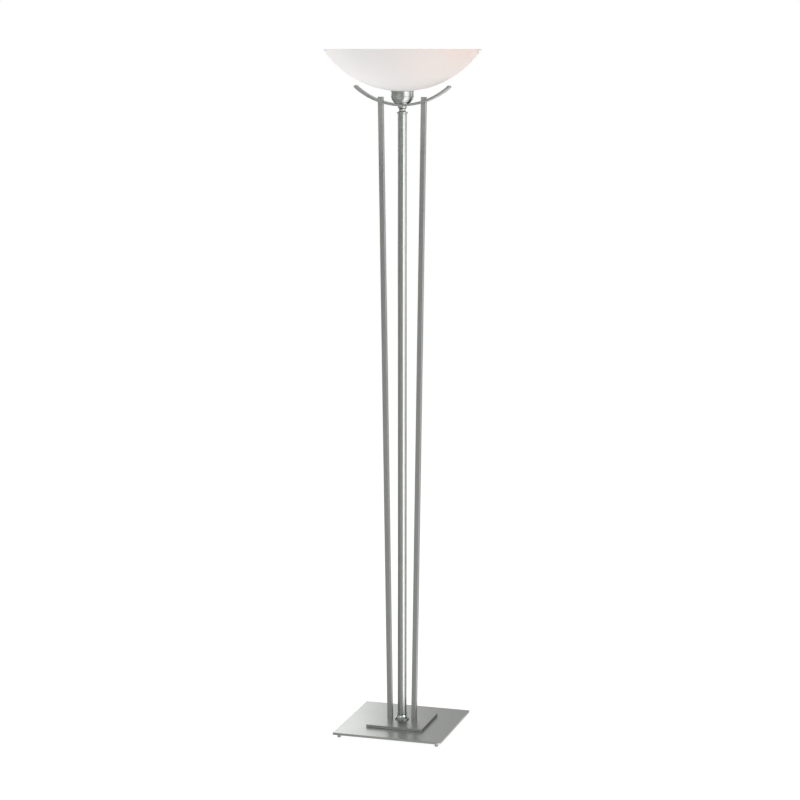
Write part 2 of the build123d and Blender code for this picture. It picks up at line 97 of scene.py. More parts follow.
# Where a noise pattern's values mostly lie
NOISE_LOW, NOISE_HIGH = 0.3, 0.7
# Height of a finish's relief, length of a brush line, size of the haze on metal, width of its rubbed edges
GRAIN_HEIGHT = 0.02 * MM
BRUSH_RUN = 160 * MM
HAZE_SIZE = 70 * MM
RUB_WIDTH = 0.8 * MM
# An eased normal's agreement with the true one where rubbing starts and where it is full, and its samples
RUB_START, RUB_FULL = 0.99, 0.8
RUB_SAMPLES = 4
# Shares of a metal's tone in its lines and rubbed edges, and of a moulding's tone and gloss in its grain
LINE_SHADE, RUB_SHINE = 0.91, 1.4
GRAIN_SHADE, GRAIN_DULL, GRAIN_GLOSS = 0.88, 1.15, 0.85
GRAIN_RELIEF = 0.1
# Opal glass: size and share of its warm clouds, and grain, roughness and relief of its etched face
OPAL_CLOUD, OPAL_WARMTH = 180 * MM, 0.5
ETCHING_SIZE, ETCHING_RELIEF = 1.5 * MM, 0.05
ETCHING_LOW, ETCHING_HIGH = 0.5, 0.6

# Each softbox: its name, place, side, power and tint
SOFTBOXES = (
    ("Left softbox", (-2.4, -0.4, 2.2), 1.2, 11.0, "#FFFFFF"),
    ("Front softbox", (-0.9, -2.4, 1.2), 1.2, 7.7, "#FFFFFF"),
    ("Right softbox", (2.2, -0.5, 2.0), 1.2, 11.6, "#FF9A0C"),
    ("Top softbox", (0.0, 0.0, 4.2), 1.6, 36.0, "#FFFFFF"),
)
# The card behind the lamp that shows in the plates: its distance, levels, and brightness along its width
BACK_CARD_PLACE = 0.91
BACK_CARD_LEVELS = (0.02, 1.0)
BACK_CARD = (
    (-1.4, 2.45), (-0.44, 2.45), (-0.38, 1.85), (-0.33, 1.5), (-0.26, 1.16), (-0.2, 0.9), (0.0, 0.8),
    (1.2, 0.78),
)
# The glowing sweep's section from the floor up, as radius, level and band; it is seen only in reflections
SWEEP_SECTION = (
    (0.21, MM, 0), (8.0, MM, 0), (8.0, 0.5, 0), (8.0, 0.8, 1), (8.0, 1.9, 1), (8.0, 2.0, 3), (8.0, 2.4, 3),
    (8.0, 2.6, 2), (8.0, 4.4, 2), (8.0, 4.7, 3), (8.0, 8.0, 3),
)
# Glow of the sweep's floor, low, middle and high bands by the angle round the lamp, from front to right:
# painted reflections
# The bright strip from about 39 to 80 degrees is the metal's painted highlight
SWEEP = (
    (-140, 0.95, 2.8, 1.0, 0.8), (-100, 0.95, 2.8, 1.0, 0.8), (-95, 0.75, 1.2, 2.0, 0.4),
    (-60, 0.7, 0.6, 2.0, 0.4), (-40, 0.84, 0.06, 2.0, 0.4), (-36, 0.88, 0.04, 5.4, 0.4),
    (0, 1.0, 0.04, 5.4, 0.4), (4, 1.02, 0.06, 2.0, 0.4), (37, 1.12, 0.18, 2.0, 0.4), (39, 5.0, 5.6, 4.0, 0.8),
    (66, 5.0, 5.6, 4.0, 0.8), (68, 3.0, 5.6, 4.0, 0.8), (80, 3.0, 5.6, 4.0, 0.8), (82, 3.2, 4.4, 1.2, 0.5),
    (124, 3.2, 4.4, 1.2, 0.5), (132, 1.0, 1.0, 0.6, 0.5), (165, 1.0, 1.0, 0.6, 0.5),
)
CEILING_HALF, CEILING_LEVEL, CEILING_BRIGHTNESS = 6.0, 8.0, 0.7
FLOOR_HALF = 40.0
SENSOR_WIDTH = 36.0


def middle(node):
    """Middle of a node's box at rest."""
    low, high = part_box(node)
    return (low + high) / 2


def reach(node):
    """Outer radius of a turned node on the lamp's axis."""
    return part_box(node)[1].x


def bottom(node):
    """Lowest level of a node."""
    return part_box(node)[0].z


def top(node):
    """Highest level of a node."""
    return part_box(node)[1].z


def linear(text):
    """Linear colour with full opacity from an sRGB hex text."""
    parts = [int(text[i : i + 2], 16) / 255 for i in (1, 3, 5)]
    return tuple(c / 12.92 if c <= 0.04045 else ((c + 0.055) / 1.055) ** 2.4 for c in parts) + (1.0,)


def length(name, description, default):
    """Property for a size in metres."""
    return FloatProperty(name=name, description=description, default=default, unit="LENGTH", precision=5)


def angle(name, description, degrees):
    """Property for an angle, given in degrees."""
    return FloatProperty(name=name, description=description, default=math.radians(degrees), subtype="ANGLE")


def colour(name, description, text):
    """Property for a colour given as sRGB hex."""
    return FloatVectorProperty(
        name=name, description=description, default=linear(text), size=4, min=0, max=1, subtype="COLOR"
    )


class LampSizes(bpy.types.PropertyGroup):
    """Sizes of the pieces that are turned or threaded here."""

    segments: IntProperty(name="Segments", description="Facets round a turned piece", default=128, min=24)
    edge_round: length("Edge round", "Rounding of a turned edge", 0.35 * MM)
    fit: length("Fit", "Clearance of a piece in its seat", 0.05 * MM)
    bowl_radius: length("Bowl sphere", "Outer radius of the bowl's sphere", 244.8 * MM)
    bowl_wall: length("Bowl wall", "Thickness of the opal glass", 5 * MM)
    bowl_hole: length("Bowl hole", "Radius of the hole for the lampholder", 20.5 * MM)
    bowl_rim: length("Bowl rim", "Radius of the rim before its edges are rounded", 201.7 * MM)
    rim_round: length("Rim round", "Fire-polished rounding of the bowl's edges", 2.8 * MM)
    cup_wall: length("Cup wall", "Thickness of the cup", 2 * MM)
    cup_floor: length("Cup floor", "Thickness of the cup's floor", 2.4 * MM)
    cup_foot: length("Cup foot", "Radius of the cup's flat foot", 18.4 * MM)
    cup_tier: length("Cup tier", "Radius at the lower edge of the cup's upper tier", 25.7 * MM)
    cup_tier_level: length("Tier level", "Height of the cup's tiers' meeting above its foot", 8.6 * MM)
    cup_tier_bulge: length("Tier swell", "How far the cup's upper tier swells out", 0.7 * MM)
    cup_foot_bulge: length("Foot swell", "How far the cup's lower tier swells out", 0.8 * MM)
    cup_bead_level: length("Bead level", "Height of the cup's bead above its foot", 15.5 * MM)
    cup_bead: length("Bead height", "Height of the cup's bead", 3 * MM)
    cup_lip: length("Lip height", "Height of the cup's lip", 2 * MM)
    cup_step: length("Lip step", "How far lip and bead stand out from the cup's wall", 0.4 * MM)
    cup_tier_step: length("Tier step", "How far the cup draws in under its bead", 2.2 * MM)
    cup_foot_rise: length("Foot rise", "Straight part at the cup's foot", 1.4 * MM)
    cup_hole: length("Cup hole", "Radius of the hole for the rod", 5.3 * MM)
    neck_bore: length("Neck bore", "Radius of the neck's hole for the rod", 5.05 * MM)
    neck_spigot: length("Neck spigot", "Radius of the neck's end inside the tube", 10.25 * MM)
    neck_collar_rise: length("Collar rise", "Height of the cone under the neck's collar", 2.6 * MM)
    neck_collar: length("Collar height", "Height of the neck's collar", 3.2 * MM)
    neck_cove: length("Neck cove", "Radius at the lower end of the neck's hollow", 10.3 * MM)
    neck_waist: length("Neck waist", "Radius of the neck's waist", 8.4 * MM)
    neck_flange: length("Neck flange", "Radius of the neck's top flange", 11.8 * MM)
    neck_flange_height: length("Flange height", "Height of the neck's top flange", 4.5 * MM)
    ring_lip: length("Ring lip", "Height of the foot ring's lip", 2.4 * MM)
    ring_step: length("Ring step", "Step from the foot ring's lip to its flank", 0.8 * MM)
    ring_hollow: length("Ring hollow", "How far the foot ring's flank is hollowed", 1.6 * MM)
    ring_waist: length("Ring waist", "Radius of the foot ring under its bead", 12.7 * MM)
    ring_bead: length("Ring bead", "Radius of the foot ring's bead", 13.6 * MM)
    ring_bead_height: length("Ring bead height", "Height of the foot ring's bead", 3 * MM)
    foot_edge: length("Foot edge", "Broken edge at the bottom of a foot", 0.5 * MM)
    stud_radius: length("Stud radius", "Outer radius of a foot's threaded stud", 3 * MM)
    stud_pitch: length("Stud pitch", "Pitch of a foot's thread", 1 * MM)
    stud_depth: length("Stud depth", "Depth of a foot's thread", 0.5 * MM)
    skirt_wall: length("Skirt wall", "Wall of the lampholder's skirt", 3.9 * MM)
    skirt_pitch: length("Skirt pitch", "Pitch of the thread on the lampholder's skirt", 2 * MM)
    skirt_depth: length("Skirt depth", "Depth of the thread on the lampholder's skirt", 0.7 * MM)
    shell_wall: length("Shell wall", "Sheet of the lampholder's screw shell", 0.5 * MM)
    shell_lip: length("Shell lip", "Width of the screw shell's lip on the core", 4.5 * MM)
    shell_plain: length("Shell plain end", "Plain length at the foot of the screw shell", 2 * MM)
    bulb_neck: length("Bulb neck", "Radius of the globe where it meets the cap", 13.6 * MM)
    bulb_glass: length("Bulb glass", "Wall of the bulb's globe", 1 * MM)
    bulb_shoulder: angle("Bulb shoulder", "How far the globe's round part reaches below its middle", 25)
    cap_wall: length("Cap wall", "Sheet of the bulb's cap", 0.6 * MM)
    cap_pitch: length("Cap pitch", "Pitch of the bulb's rolled thread", 3.63 * MM)
    cap_depth: length("Cap depth", "Depth of the bulb's rolled thread", 0.8 * MM)
    cap_plain: length("Cap plain end", "Plain band above the bulb's thread", 3 * MM)


class LampColours(bpy.types.PropertyGroup):
    """Colours of the finishes."""

    nickel: colour("Satin nickel", "Brushed nickel plate on steel", "#8A8C89")
    bright: colour("Bright nickel", "Buffed nickel plate", "#8E928F")
    glass: colour("Opal glass", "White opal glass", "#F1F1F1")
    glass_warm: colour("Opal glass, warm", "Warmer cloud in the opal glass", "#F3F0EC")
    zinc: colour("Zinc steel", "Zinc-plated steel", "#A6A9AC")
    phenolic: colour("Phenolic", "Moulded phenolic resin", "#1B1A19")
    porcelain: colour("Porcelain", "Glazed porcelain", "#E9E6DE")
    brass: colour("Brass", "Drawn brass", "#B89A55")
    silicone: colour("Silicone", "Clear white silicone rubber", "#DCDCD8")
    nylon: colour("Nylon", "Natural nylon", "#D9D8D0")
    frosted: colour("Frosted glass", "Inside-frosted bulb glass", "#F2F1ED")
    aluminium: colour("Aluminium", "Rolled aluminium sheet", "#C4C5C5")
    vitrite: colour("Vitrite", "Black glass in the bulb's cap", "#141414")


class StageSettings(bpy.types.PropertyGroup):
    """Camera, floor and light."""

    azimuth: angle("Azimuth", "Camera's place round the lamp", 16.842)
    distance: length("Distance", "Camera's distance from the lamp's axis", 5.5754)
    height: length("Height", "Camera's height above the floor", 1.7795)
    pitch: angle("Pitch", "How far the camera looks down", 9.161)
    yaw: angle("Yaw", "How far the camera turns off the axis", 0.059)
    lens: FloatProperty(
        name="Lens", description="Focal length in millimetres", default=97.884, subtype="DISTANCE_CAMERA"
    )
    ambient: FloatProperty(name="Ambient", description="Light from the white surroundings", default=0.22)
    floor_light: FloatProperty(name="Floor light", description="Light thrown up by the floor", default=0.66)
    floor_lift: FloatProperty(name="Floor lift", description="Whiteness of the floor in view", default=0.92)
    floor_tone: colour("Floor", "Pale grey paper that takes the lamp's shadow", "#A8A8A8")


def fill(tree, node, inputs):
    """Set or link a node's inputs by name or number."""
    for key, value in inputs.items():
        if isinstance(value, bpy.types.NodeSocket):
            tree.links.new(value, node.inputs[key])
        else:
            node.inputs[key].default_value = value


def add_node(tree, kind, inputs=None, **settings):
    """Add a node with its settings and inputs."""
    made = tree.nodes.new(kind)
    for name, value in settings.items():
        setattr(made, name, value)
    fill(tree, made, inputs or {})
    return made


def arc_through(start, mid, end, steps=ARC_STEPS):
    """Points on the circle through three points of an outline, from the first to the last."""
    (ax, ay), (bx, by), (cx, cy) = start, mid, end
    d = 2 * (ax * (by - cy) + bx * (cy - ay) + cx * (ay - by))
    a, b, c = ax * ax + ay * ay, bx * bx + by * by, cx * cx + cy * cy
    x = (a * (by - cy) + b * (cy - ay) + c * (ay - by)) / d
    y = (a * (cx - bx) + b * (ax - cx) + c * (bx - ax)) / d
    radius = math.hypot(ax - x, ay - y)
    first, through, last = (math.atan2(p[1] - y, p[0] - x) for p in (start, mid, end))
    sweep = (last - first) % FULL_TURN
    if (through - first) % FULL_TURN > sweep:
        sweep -= FULL_TURN
    angles = [first + sweep * i / steps for i in range(steps + 1)]
    return [(x + radius * math.cos(t), y + radius * math.sin(t)) for t in angles]


def sphere_arc(radius, pole, first, last):
    """Points on a bowl's round wall, from one distance off the axis to another."""
    start, end = math.asin(first / radius), math.asin(last / radius)
    angles = [start + (end - start) * i / WALL_STEPS for i in range(WALL_STEPS + 1)]
    return [(radius * math.sin(t), pole + radius - radius * math.cos(t)) for t in angles]


def softened(outline, reach_back):
    """Closed outline with every sharp corner off the axis rounded over a given reach."""
    points = [Vector(p) for p in outline]
    count = len(points)
    sharp = []
    for i, here in enumerate(points):
        before, after = here - points[i - 1], points[(i + 1) % count] - here
        if here.x > ON_AXIS and before.length and after.length and before.angle(after) > SHARP_ABOVE:
            sharp.append(i)

    def walk(index, step):
        """Point at the reach along the outline, and how many points lie before it."""
        left, passed = reach_back, 0
        while True:
            here = points[(index + step * passed) % count]
            after = (index + step * (passed + 1)) % count
            there = points[after]
            span = (there - here).length
            ends = after in sharp or there.x <= ON_AXIS
            limit = span * CORNER_SHARE if ends else span
            if left <= limit or ends:
                return here + (there - here) * (min(left, limit) / span), passed
            left, passed = left - span, passed + 1

    dropped, curves = set(), {}
    for i in sharp:
        start, back = walk(i, -1)
        end, ahead = walk(i, 1)
        dropped.update((i - k) % count for k in range(1, back + 1))
        dropped.update((i + k) % count for k in range(1, ahead + 1))
        shares = [k / CORNER_STEPS for k in range(CORNER_STEPS + 1)]
        curves[i] = [start * (1 - t) ** 2 + points[i] * (2 * t * (1 - t)) + end * t**2 for t in shares]
    rounded = []
    for i, here in enumerate(points):
        rounded += curves.get(i, [] if i in dropped else [here])
    return [(p.x, p.y) for p in rounded]


def divided(outline, low, high, step):
    """Closed outline with its runs between two levels cut into short steps."""
    made = []
    for i, (x, z) in enumerate(outline):
        nx, nz = outline[(i + 1) % len(outline)]
        inside = low <= min(z, nz) + step and max(z, nz) - step <= high
        parts = max(1, round(abs(nz - z) / step)) if inside else 1
        made += [(x + (nx - x) * k / parts, z + (nz - z) * k / parts) for k in range(parts)]
    return made


def turned_tree():
    """Geometry nodes that turn a profile curve about the upright axis and cut or roll a thread into it."""
    tree = bpy.data.node_groups.new("Turned and threaded", "GeometryNodeTree")
    tree.interface.new_socket("Geometry", in_out="OUTPUT", socket_type="NodeSocketGeometry")
    for kind, names in TURNED_INPUTS.items():
        for name in names:
            tree.interface.new_socket(name, in_out="INPUT", socket_type=f"NodeSocket{kind}")
    given = add_node(tree, "NodeGroupInput").outputs

    def calc(operation, first, second=0.0):
        return add_node(tree, "ShaderNodeMath", {0: first, 1: second}, operation=operation).outputs[0]

    path = {"Resolution": given["Segments"], "Radius": TURNING_PATH}
    circle = add_node(tree, "GeometryNodeCurvePrimitiveCircle", path).outputs["Curve"]
    sweep = {"Curve": circle, "Profile Curve": given["Profile"]}
    swept = add_node(tree, "GeometryNodeCurveToMesh", sweep).outputs["Mesh"]
    weld = {"Geometry": swept, "Distance": WELD}
    welded = add_node(tree, "GeometryNodeMergeByDistance", weld).outputs["Geometry"]
    place = add_node(tree, "GeometryNodeInputPosition").outputs["Position"]
    axes = add_node(tree, "ShaderNodeSeparateXYZ", {"Vector": place}).outputs
    flat = add_node(tree, "ShaderNodeCombineXYZ", {"X": axes["X"], "Y": axes["Y"]}).outputs["Vector"]
    outward = add_node(tree, "ShaderNodeVectorMath", {0: flat}, operation="NORMALIZE").outputs["Vector"]
    radius = add_node(tree, "ShaderNodeVectorMath", {0: flat}, operation="LENGTH").outputs["Value"]
    turns = calc("DIVIDE", calc("ARCTAN2", axes["Y"], axes["X"]), FULL_TURN)
    phase = calc("SUBTRACT", calc("DIVIDE", axes["Z"], given["Pitch"]), turns)
    rolled = calc("ADD", calc("MULTIPLY", calc("COSINE", calc("MULTIPLY", phase, FULL_TURN)), 0.5), 0.5)
    cut = calc("MULTIPLY", calc("PINGPONG", phase, 0.5), 2.0)
    forms = {"Factor": given["Sharpness"], 2: rolled, 3: cut}
    wave = add_node(tree, "ShaderNodeMix", forms, data_type="FLOAT").outputs[0]
    runs_in = calc("DIVIDE", calc("SUBTRACT", axes["Z"], given["Thread start"]), given["Pitch"])
    runs_out = calc("DIVIDE", calc("SUBTRACT", given["Thread end"], axes["Z"]), given["Pitch"])
    ends = add_node(tree, "ShaderNodeClamp", {"Value": calc("MINIMUM", runs_in, runs_out)}).outputs[0]
    mask = calc("MULTIPLY", ends, calc("GREATER_THAN", radius, given["Thread radius"]))
    dip = calc("MULTIPLY", calc("MULTIPLY", calc("SUBTRACT", wave, 1.0), given["Depth"]), mask)
    offset = add_node(tree, "ShaderNodeVectorMath", {0: outward, "Scale": dip}, operation="SCALE").outputs[0]
    shift = {"Geometry": welded, "Offset": offset}
    threaded = add_node(tree, "GeometryNodeSetPosition", shift).outputs["Geometry"]
    real = add_node(tree, "GeometryNodeRealizeInstances", {"Geometry": threaded}).outputs["Geometry"]
    coat = {"Geometry": real, "Material": given["Material"]}
    coated = add_node(tree, "GeometryNodeSetMaterial", coat).outputs["Geometry"]
    add_node(tree, "NodeGroupOutput", {0: coated})
    return tree


def give_inputs(modifier, values):
    """Set a geometry nodes modifier's inputs, found by name and set by identifier."""
    for item in modifier.node_group.interface.items_tree:
        if item.in_out == "INPUT" and item.name in values:
            modifier[item.identifier] = values[item.name]


def plain_mesh(source, name):
    """New mesh object from what an object's modifiers make, with the source removed."""
    bpy.context.view_layer.update()
    evaluated = source.evaluated_get(bpy.context.evaluated_depsgraph_get())
    mesh = bpy.data.meshes.new_from_object(evaluated)
    bpy.data.objects.remove(source)
    mesh.name = name
    mesh.polygons.foreach_set("use_smooth", [True] * len(mesh.polygons))
    mesh.set_sharp_from_angle(angle=SMOOTH_BELOW)
    made = bpy.data.objects.new(name, mesh)
    bpy.context.scene.collection.objects.link(made)
    return made


def turn(name, outline, material, segments, thread=None):
    """Turned mesh object from a closed outline of radius and height, with an optional thread."""
    after = outline[1:] + outline[:1]
    area = sum(x * nz - nx * z for (x, z), (nx, nz) in zip(outline, after))
    ordered = outline if area < 0 else outline[::-1]
    curve = bpy.data.curves.new(name, "CURVE")
    curve.dimensions = "3D"
    spline = curve.splines.new("POLY")
    spline.points.add(len(ordered) - 1)
    for point, (x, z) in zip(spline.points, ordered):
        point.co = (x - TURNING_PATH, -z, 0, 1)
    spline.use_cyclic_u = True
    source = bpy.data.objects.new(name, curve)
    bpy.context.scene.collection.objects.link(source)
    modifier = source.modifiers.new("Turned", "NODES")
    modifier.node_group = bpy.data.node_groups.get("Turned and threaded") or turned_tree()
    values = {"Segments": segments, "Pitch": 1.0, "Depth": 0.0, "Material": material}
    give_inputs(modifier, {**values, **(thread or {})})
    return plain_mesh(source, name)


def stand_for(piece, body, slot, *nodes):
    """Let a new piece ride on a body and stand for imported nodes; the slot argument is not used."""
    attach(piece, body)
    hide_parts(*nodes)


def dress(material, *nodes):
    """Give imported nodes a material."""
    for node in nodes:
        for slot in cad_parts[node].material_slots:
            slot.material = material


def bare_material(name):
    """Empty material, returned with its tree."""
    made = bpy.data.materials.new(name)
    made.use_nodes = True
    made.node_tree.nodes.clear()
    return made, made.node_tree


def new_material(name):
    """Material with a shader and output, returned with its tree and shader."""
    made, tree = bare_material(name)
    shader = add_node(tree, "ShaderNodeBsdfPrincipled")
    add_node(tree, "ShaderNodeOutputMaterial", {"Surface": shader.outputs["BSDF"]})
    return made, tree, shader


def shared(name, make, **details):
    """The material of that name, made on first use."""
    return bpy.data.materials.get(name) or make(name, **details)


def shade(tone, share):
    """A tone made darker or lighter by a share."""
    return tuple(c * share for c in tone[:3]) + (1.0,)


def object_place(tree):
    """Object coordinates, which are the lamp's own frame in metres."""
    return add_node(tree, "ShaderNodeTexCoord").outputs["Object"]


def line_pattern(tree, along, line):
    """Fine streaks of a given width: along an axis, or round the lamp for turned work."""
    place = object_place(tree)
    if along == "turned":
        axes = add_node(tree, "ShaderNodeSeparateXYZ", {"Vector": place}).outputs
        flat = add_node(tree, "ShaderNodeCombineXYZ", {"X": axes["X"], "Y": axes["Y"]}).outputs["Vector"]
        radius = add_node(tree, "ShaderNodeVectorMath", {0: flat}, operation="LENGTH").outputs["Value"]
        place = add_node(tree, "ShaderNodeCombineXYZ", {"X": radius, "Z": axes["Z"]}).outputs["Vector"]
    scale = tuple(1 / BRUSH_RUN if axis == along else 1 / line for axis in "XYZ")
    stretched = add_node(tree, "ShaderNodeMapping", {"Vector": place, "Scale": scale}).outputs["Vector"]
    streaks = {"Vector": stretched, "Scale": 1.0, "Detail": 3.0, "Roughness": 0.6}
    return add_node(tree, "ShaderNodeTexNoise", streaks).outputs["Fac"]


def cloud_pattern(tree, size):
    """Soft clouds of a given size."""
    clouds = {"Vector": object_place(tree), "Scale": 1 / size, "Detail": 2.0}
    return add_node(tree, "ShaderNodeTexNoise", clouds).outputs["Fac"]


def edge_rub(tree, width):
    """One along sharp edges, where a finish is rubbed, and nought on open faces."""
    eased = add_node(tree, "ShaderNodeBevel", {"Radius": width}, samples=RUB_SAMPLES).outputs["Normal"]
    true = add_node(tree, "ShaderNodeNewGeometry").outputs["Normal"]
    both = {0: eased, 1: true}
    along = add_node(tree, "ShaderNodeVectorMath", both, operation="DOT_PRODUCT").outputs["Value"]
    limits = {"Value": along, "From Min": RUB_START, "From Max": RUB_FULL, "To Min": 0.0, "To Max": 1.0}
    return add_node(tree, "ShaderNodeMapRange", limits).outputs["Result"]


def spread(tree, value, low, high):
    """A pattern's middle range mapped to two new limits."""
    limits = {"Value": value, "From Min": NOISE_LOW, "From Max": NOISE_HIGH, "To Min": low, "To Max": high}
    return add_node(tree, "ShaderNodeMapRange", limits).outputs["Result"]


def mixed(tree, value, first, second):
    """Colour between two colours by a pattern."""
    parts = {"Factor": value, 6: first, 7: second}
    return add_node(tree, "ShaderNodeMix", parts, data_type="RGBA").outputs[2]


def bumped(tree, value, strength):
    """Normal of a surface raised by a pattern."""
    relief = {"Height": value, "Distance": GRAIN_HEIGHT, "Strength": strength}
    return add_node(tree, "ShaderNodeBump", relief).outputs["Normal"]


def metal(name, tone, roughness, swing, along, line, relief):
    """Metal with drawn or turned lines, a faint haze in its gloss and edges rubbed bright."""
    made, tree, shader = new_material(name)
    lines = line_pattern(tree, along, line)
    toned = mixed(tree, spread(tree, lines, 0.0, 1.0), shade(tone, LINE_SHADE), tone)
    rubbed = mixed(tree, edge_rub(tree, RUB_WIDTH), toned, shade(tone, RUB_SHINE))
    gloss = spread(tree, lines, roughness - swing, roughness + swing)
    haze = spread(tree, cloud_pattern(tree, HAZE_SIZE), -swing / 2, swing / 2)
    hazed = add_node(tree, "ShaderNodeMath", {0: gloss, 1: haze}, operation="ADD").outputs[0]
    relieved = bumped(tree, lines, relief)
    fill(tree, shader, {"Base Color": rubbed, "Roughness": hazed, "Normal": relieved, "Metallic": 1.0})
    return made


def satin_nickel(colours, form, along, relief=0.03):
    """Nickel plate on brushed steel: grey, with soft reflections drawn out by fine parallel lines."""
    # The real lines are about 0.1 mm wide; these are drawn coarser, so that they show in the render
    return shared(
        f"Satin nickel {form}", metal, tone=colours.nickel, roughness=0.3, swing=0.03, along=along,
        line=1.2 * MM, relief=relief,
    )


def bright_nickel(colours):
    """Buffed nickel plate: near-mirror gloss with faint turning rings."""
    return shared(
        "Bright nickel", metal, tone=colours.bright, roughness=0.12, swing=0.02, along="turned",
        line=0.8 * MM, relief=0.05,
    )


def zinc_steel(colours):
    """Zinc-plated steel: pale blue-grey and slightly cloudy."""
    return shared(
        "Zinc-plated steel", metal, tone=colours.zinc, roughness=0.35, swing=0.08, along="turned",
        line=1.5 * MM, relief=0.15,
    )


def drawn_brass(colours):
    """Drawn brass sheet: yellow and softly glossy."""
    return shared(
        "Drawn brass", metal, tone=colours.brass, roughness=0.3, swing=0.06, along="turned",
        line=MM, relief=0.15,
    )


def rolled_aluminium(colours):
    """Rolled aluminium sheet: bright, with rings left by the rolling tool."""
    return shared(
        "Rolled aluminium", metal, tone=colours.aluminium, roughness=0.32, swing=0.06, along="turned",
        line=MM, relief=0.15,
    )


def opal_glass(colours):
    """Cased opal glass with an etched face: milky white that scatters light and shows no clear reflection."""
    made, tree, shader = new_material("Opal glass")
    clouds = spread(tree, cloud_pattern(tree, OPAL_CLOUD), 0.0, OPAL_WARMTH)
    etching = cloud_pattern(tree, ETCHING_SIZE)
    look = {
        "Base Color": mixed(tree, clouds, colours.glass, colours.glass_warm),
        "Roughness": spread(tree, etching, ETCHING_LOW, ETCHING_HIGH),
        "Normal": bumped(tree, etching, ETCHING_RELIEF),
        "IOR": 1.5, "Specular IOR Level": 0.25, "Subsurface Weight": 0.5,
        "Subsurface Radius": (1.0, 0.85, 0.75), "Subsurface Scale": 3 * MM,
    }
    fill(tree, shader, look)
    return made


def moulded(name, tone, roughness, ior, grain):
    """Moulded or glazed surface with a fine grain in its tone, gloss and relief."""
    made, tree, shader = new_material(name)
    pattern = cloud_pattern(tree, grain)
    toned = mixed(tree, spread(tree, pattern, 0.0, 1.0), shade(tone, GRAIN_SHADE), tone)
    gloss = spread(tree, pattern, roughness * GRAIN_GLOSS, roughness * GRAIN_DULL)
    relieved = bumped(tree, pattern, GRAIN_RELIEF)
    fill(tree, shader, {"Base Color": toned, "Roughness": gloss, "Normal": relieved, "IOR": ior})
    return made


def silicone_rubber(colours):
    """Moulded silicone rubber: whitish, soft and dull."""
    return shared("Silicone rubber", moulded, tone=colours.silicone, roughness=0.6, ior=1.41, grain=2 * MM)


def nylon(colours):
    """Natural nylon: off-white with a dull moulded face."""
    return shared("Nylon", moulded, tone=colours.nylon, roughness=0.5, ior=1.53, grain=2 * MM)


def phenolic_resin(colours):
    """Moulded phenolic resin: near black with a soft shine."""
    return shared("Moulded phenolic", moulded, tone=colours.phenolic, roughness=0.35, ior=1.6, grain=1.2 * MM)


def glazed_porcelain(colours):
    """Glazed porcelain: creamy white and glossy."""
    return shared("Glazed porcelain", moulded, tone=colours.porcelain, roughness=0.2, ior=1.5, grain=3 * MM)


def frosted_glass(colours):
    """Bulb glass frosted inside: even white with a soft shine."""
    return shared("Frosted glass", moulded, tone=colours.frosted, roughness=0.35, ior=1.5, grain=MM)


def vitrite(colours):
    """Vitrite, the black glass that fills a bulb's cap: dark and shiny."""
    return shared("Vitrite", moulded, tone=colours.vitrite, roughness=0.15, ior=1.55, grain=2 * MM)


class TORCHIERE_OT_bowl(bpy.types.Operator):
    """Make the opal glass bowl and dress its washers"""

    bl_idname = "torchiere.bowl"
    bl_label = "Bowl"

    def execute(self, context):
        sizes, colours = context.scene.lamp_sizes, context.scene.lamp_colours
        rim = top("bowl")
        outer = sizes.bowl_radius
        inner = outer - sizes.bowl_wall
        pole = rim - outer + math.sqrt(outer**2 - sizes.bowl_rim**2)
        inner_rim = math.sqrt(inner**2 - (pole + outer - rim) ** 2)
        outside = sphere_arc(outer, pole, sizes.bowl_hole, sizes.bowl_rim)
        inside = sphere_arc(inner, pole + sizes.bowl_wall, sizes.bowl_hole, inner_rim)
        outline = softened(outside + inside[::-1], sizes.rim_round)
        bowl = turn("bowl_glass", outline, opal_glass(colours), 2 * sizes.segments)
        stand_for(bowl, "lamp", "opal_glass", "bowl")
        dress(silicone_rubber(colours), "bowl_gasket", "ring_washer")
        return {"FINISHED"}


class TORCHIERE_OT_cup(bpy.types.Operator):
    """Make the turned cup under the bowl"""

    bl_idname = "torchiere.cup"
    bl_label = "Cup"

    def execute(self, context):
        sizes, colours = context.scene.lamp_sizes, context.scene.lamp_colours
        low, high, radius = bottom("cup"), top("cup"), reach("cup")
        step, inner = sizes.cup_step, radius - sizes.cup_wall
        wall = radius - step
        bead_low = low + sizes.cup_bead_level
        bead_high = bead_low + sizes.cup_bead
        tier = low + sizes.cup_tier_level
        lip = high - sizes.cup_lip
        floor = low + sizes.cup_floor
        outline = [
            (sizes.cup_foot, low), (sizes.cup_hole, low), (sizes.cup_hole, floor),
            (sizes.cup_foot - sizes.cup_wall, floor), (inner - sizes.cup_tier_step, bead_low),
            (inner, bead_high), (inner, high), (radius, high), (radius, lip), (wall, lip - step),
            (wall, bead_high), (radius, bead_high - step), (radius, bead_low),
        ]
        upper = (radius - sizes.cup_tier_step, bead_low), (sizes.cup_tier, tier)
        lower_start = (sizes.cup_tier - sizes.cup_tier_step / 2, tier)
        lower = lower_start, (sizes.cup_foot, low + sizes.cup_foot_rise)
        for (start, end), bulge in ((upper, sizes.cup_tier_bulge), (lower, sizes.cup_foot_bulge)):
            mid = ((start[0] + end[0]) / 2 + bulge, (start[1] + end[1]) / 2 - bulge)
            outline += arc_through(start, mid, end)
        material = satin_nickel(colours, "turned", "turned")
        cup = turn("cup_turned", softened(outline, sizes.edge_round), material, sizes.segments)
        stand_for(cup, "lamp", "satin_nickel", "cup")
        return {"FINISHED"}


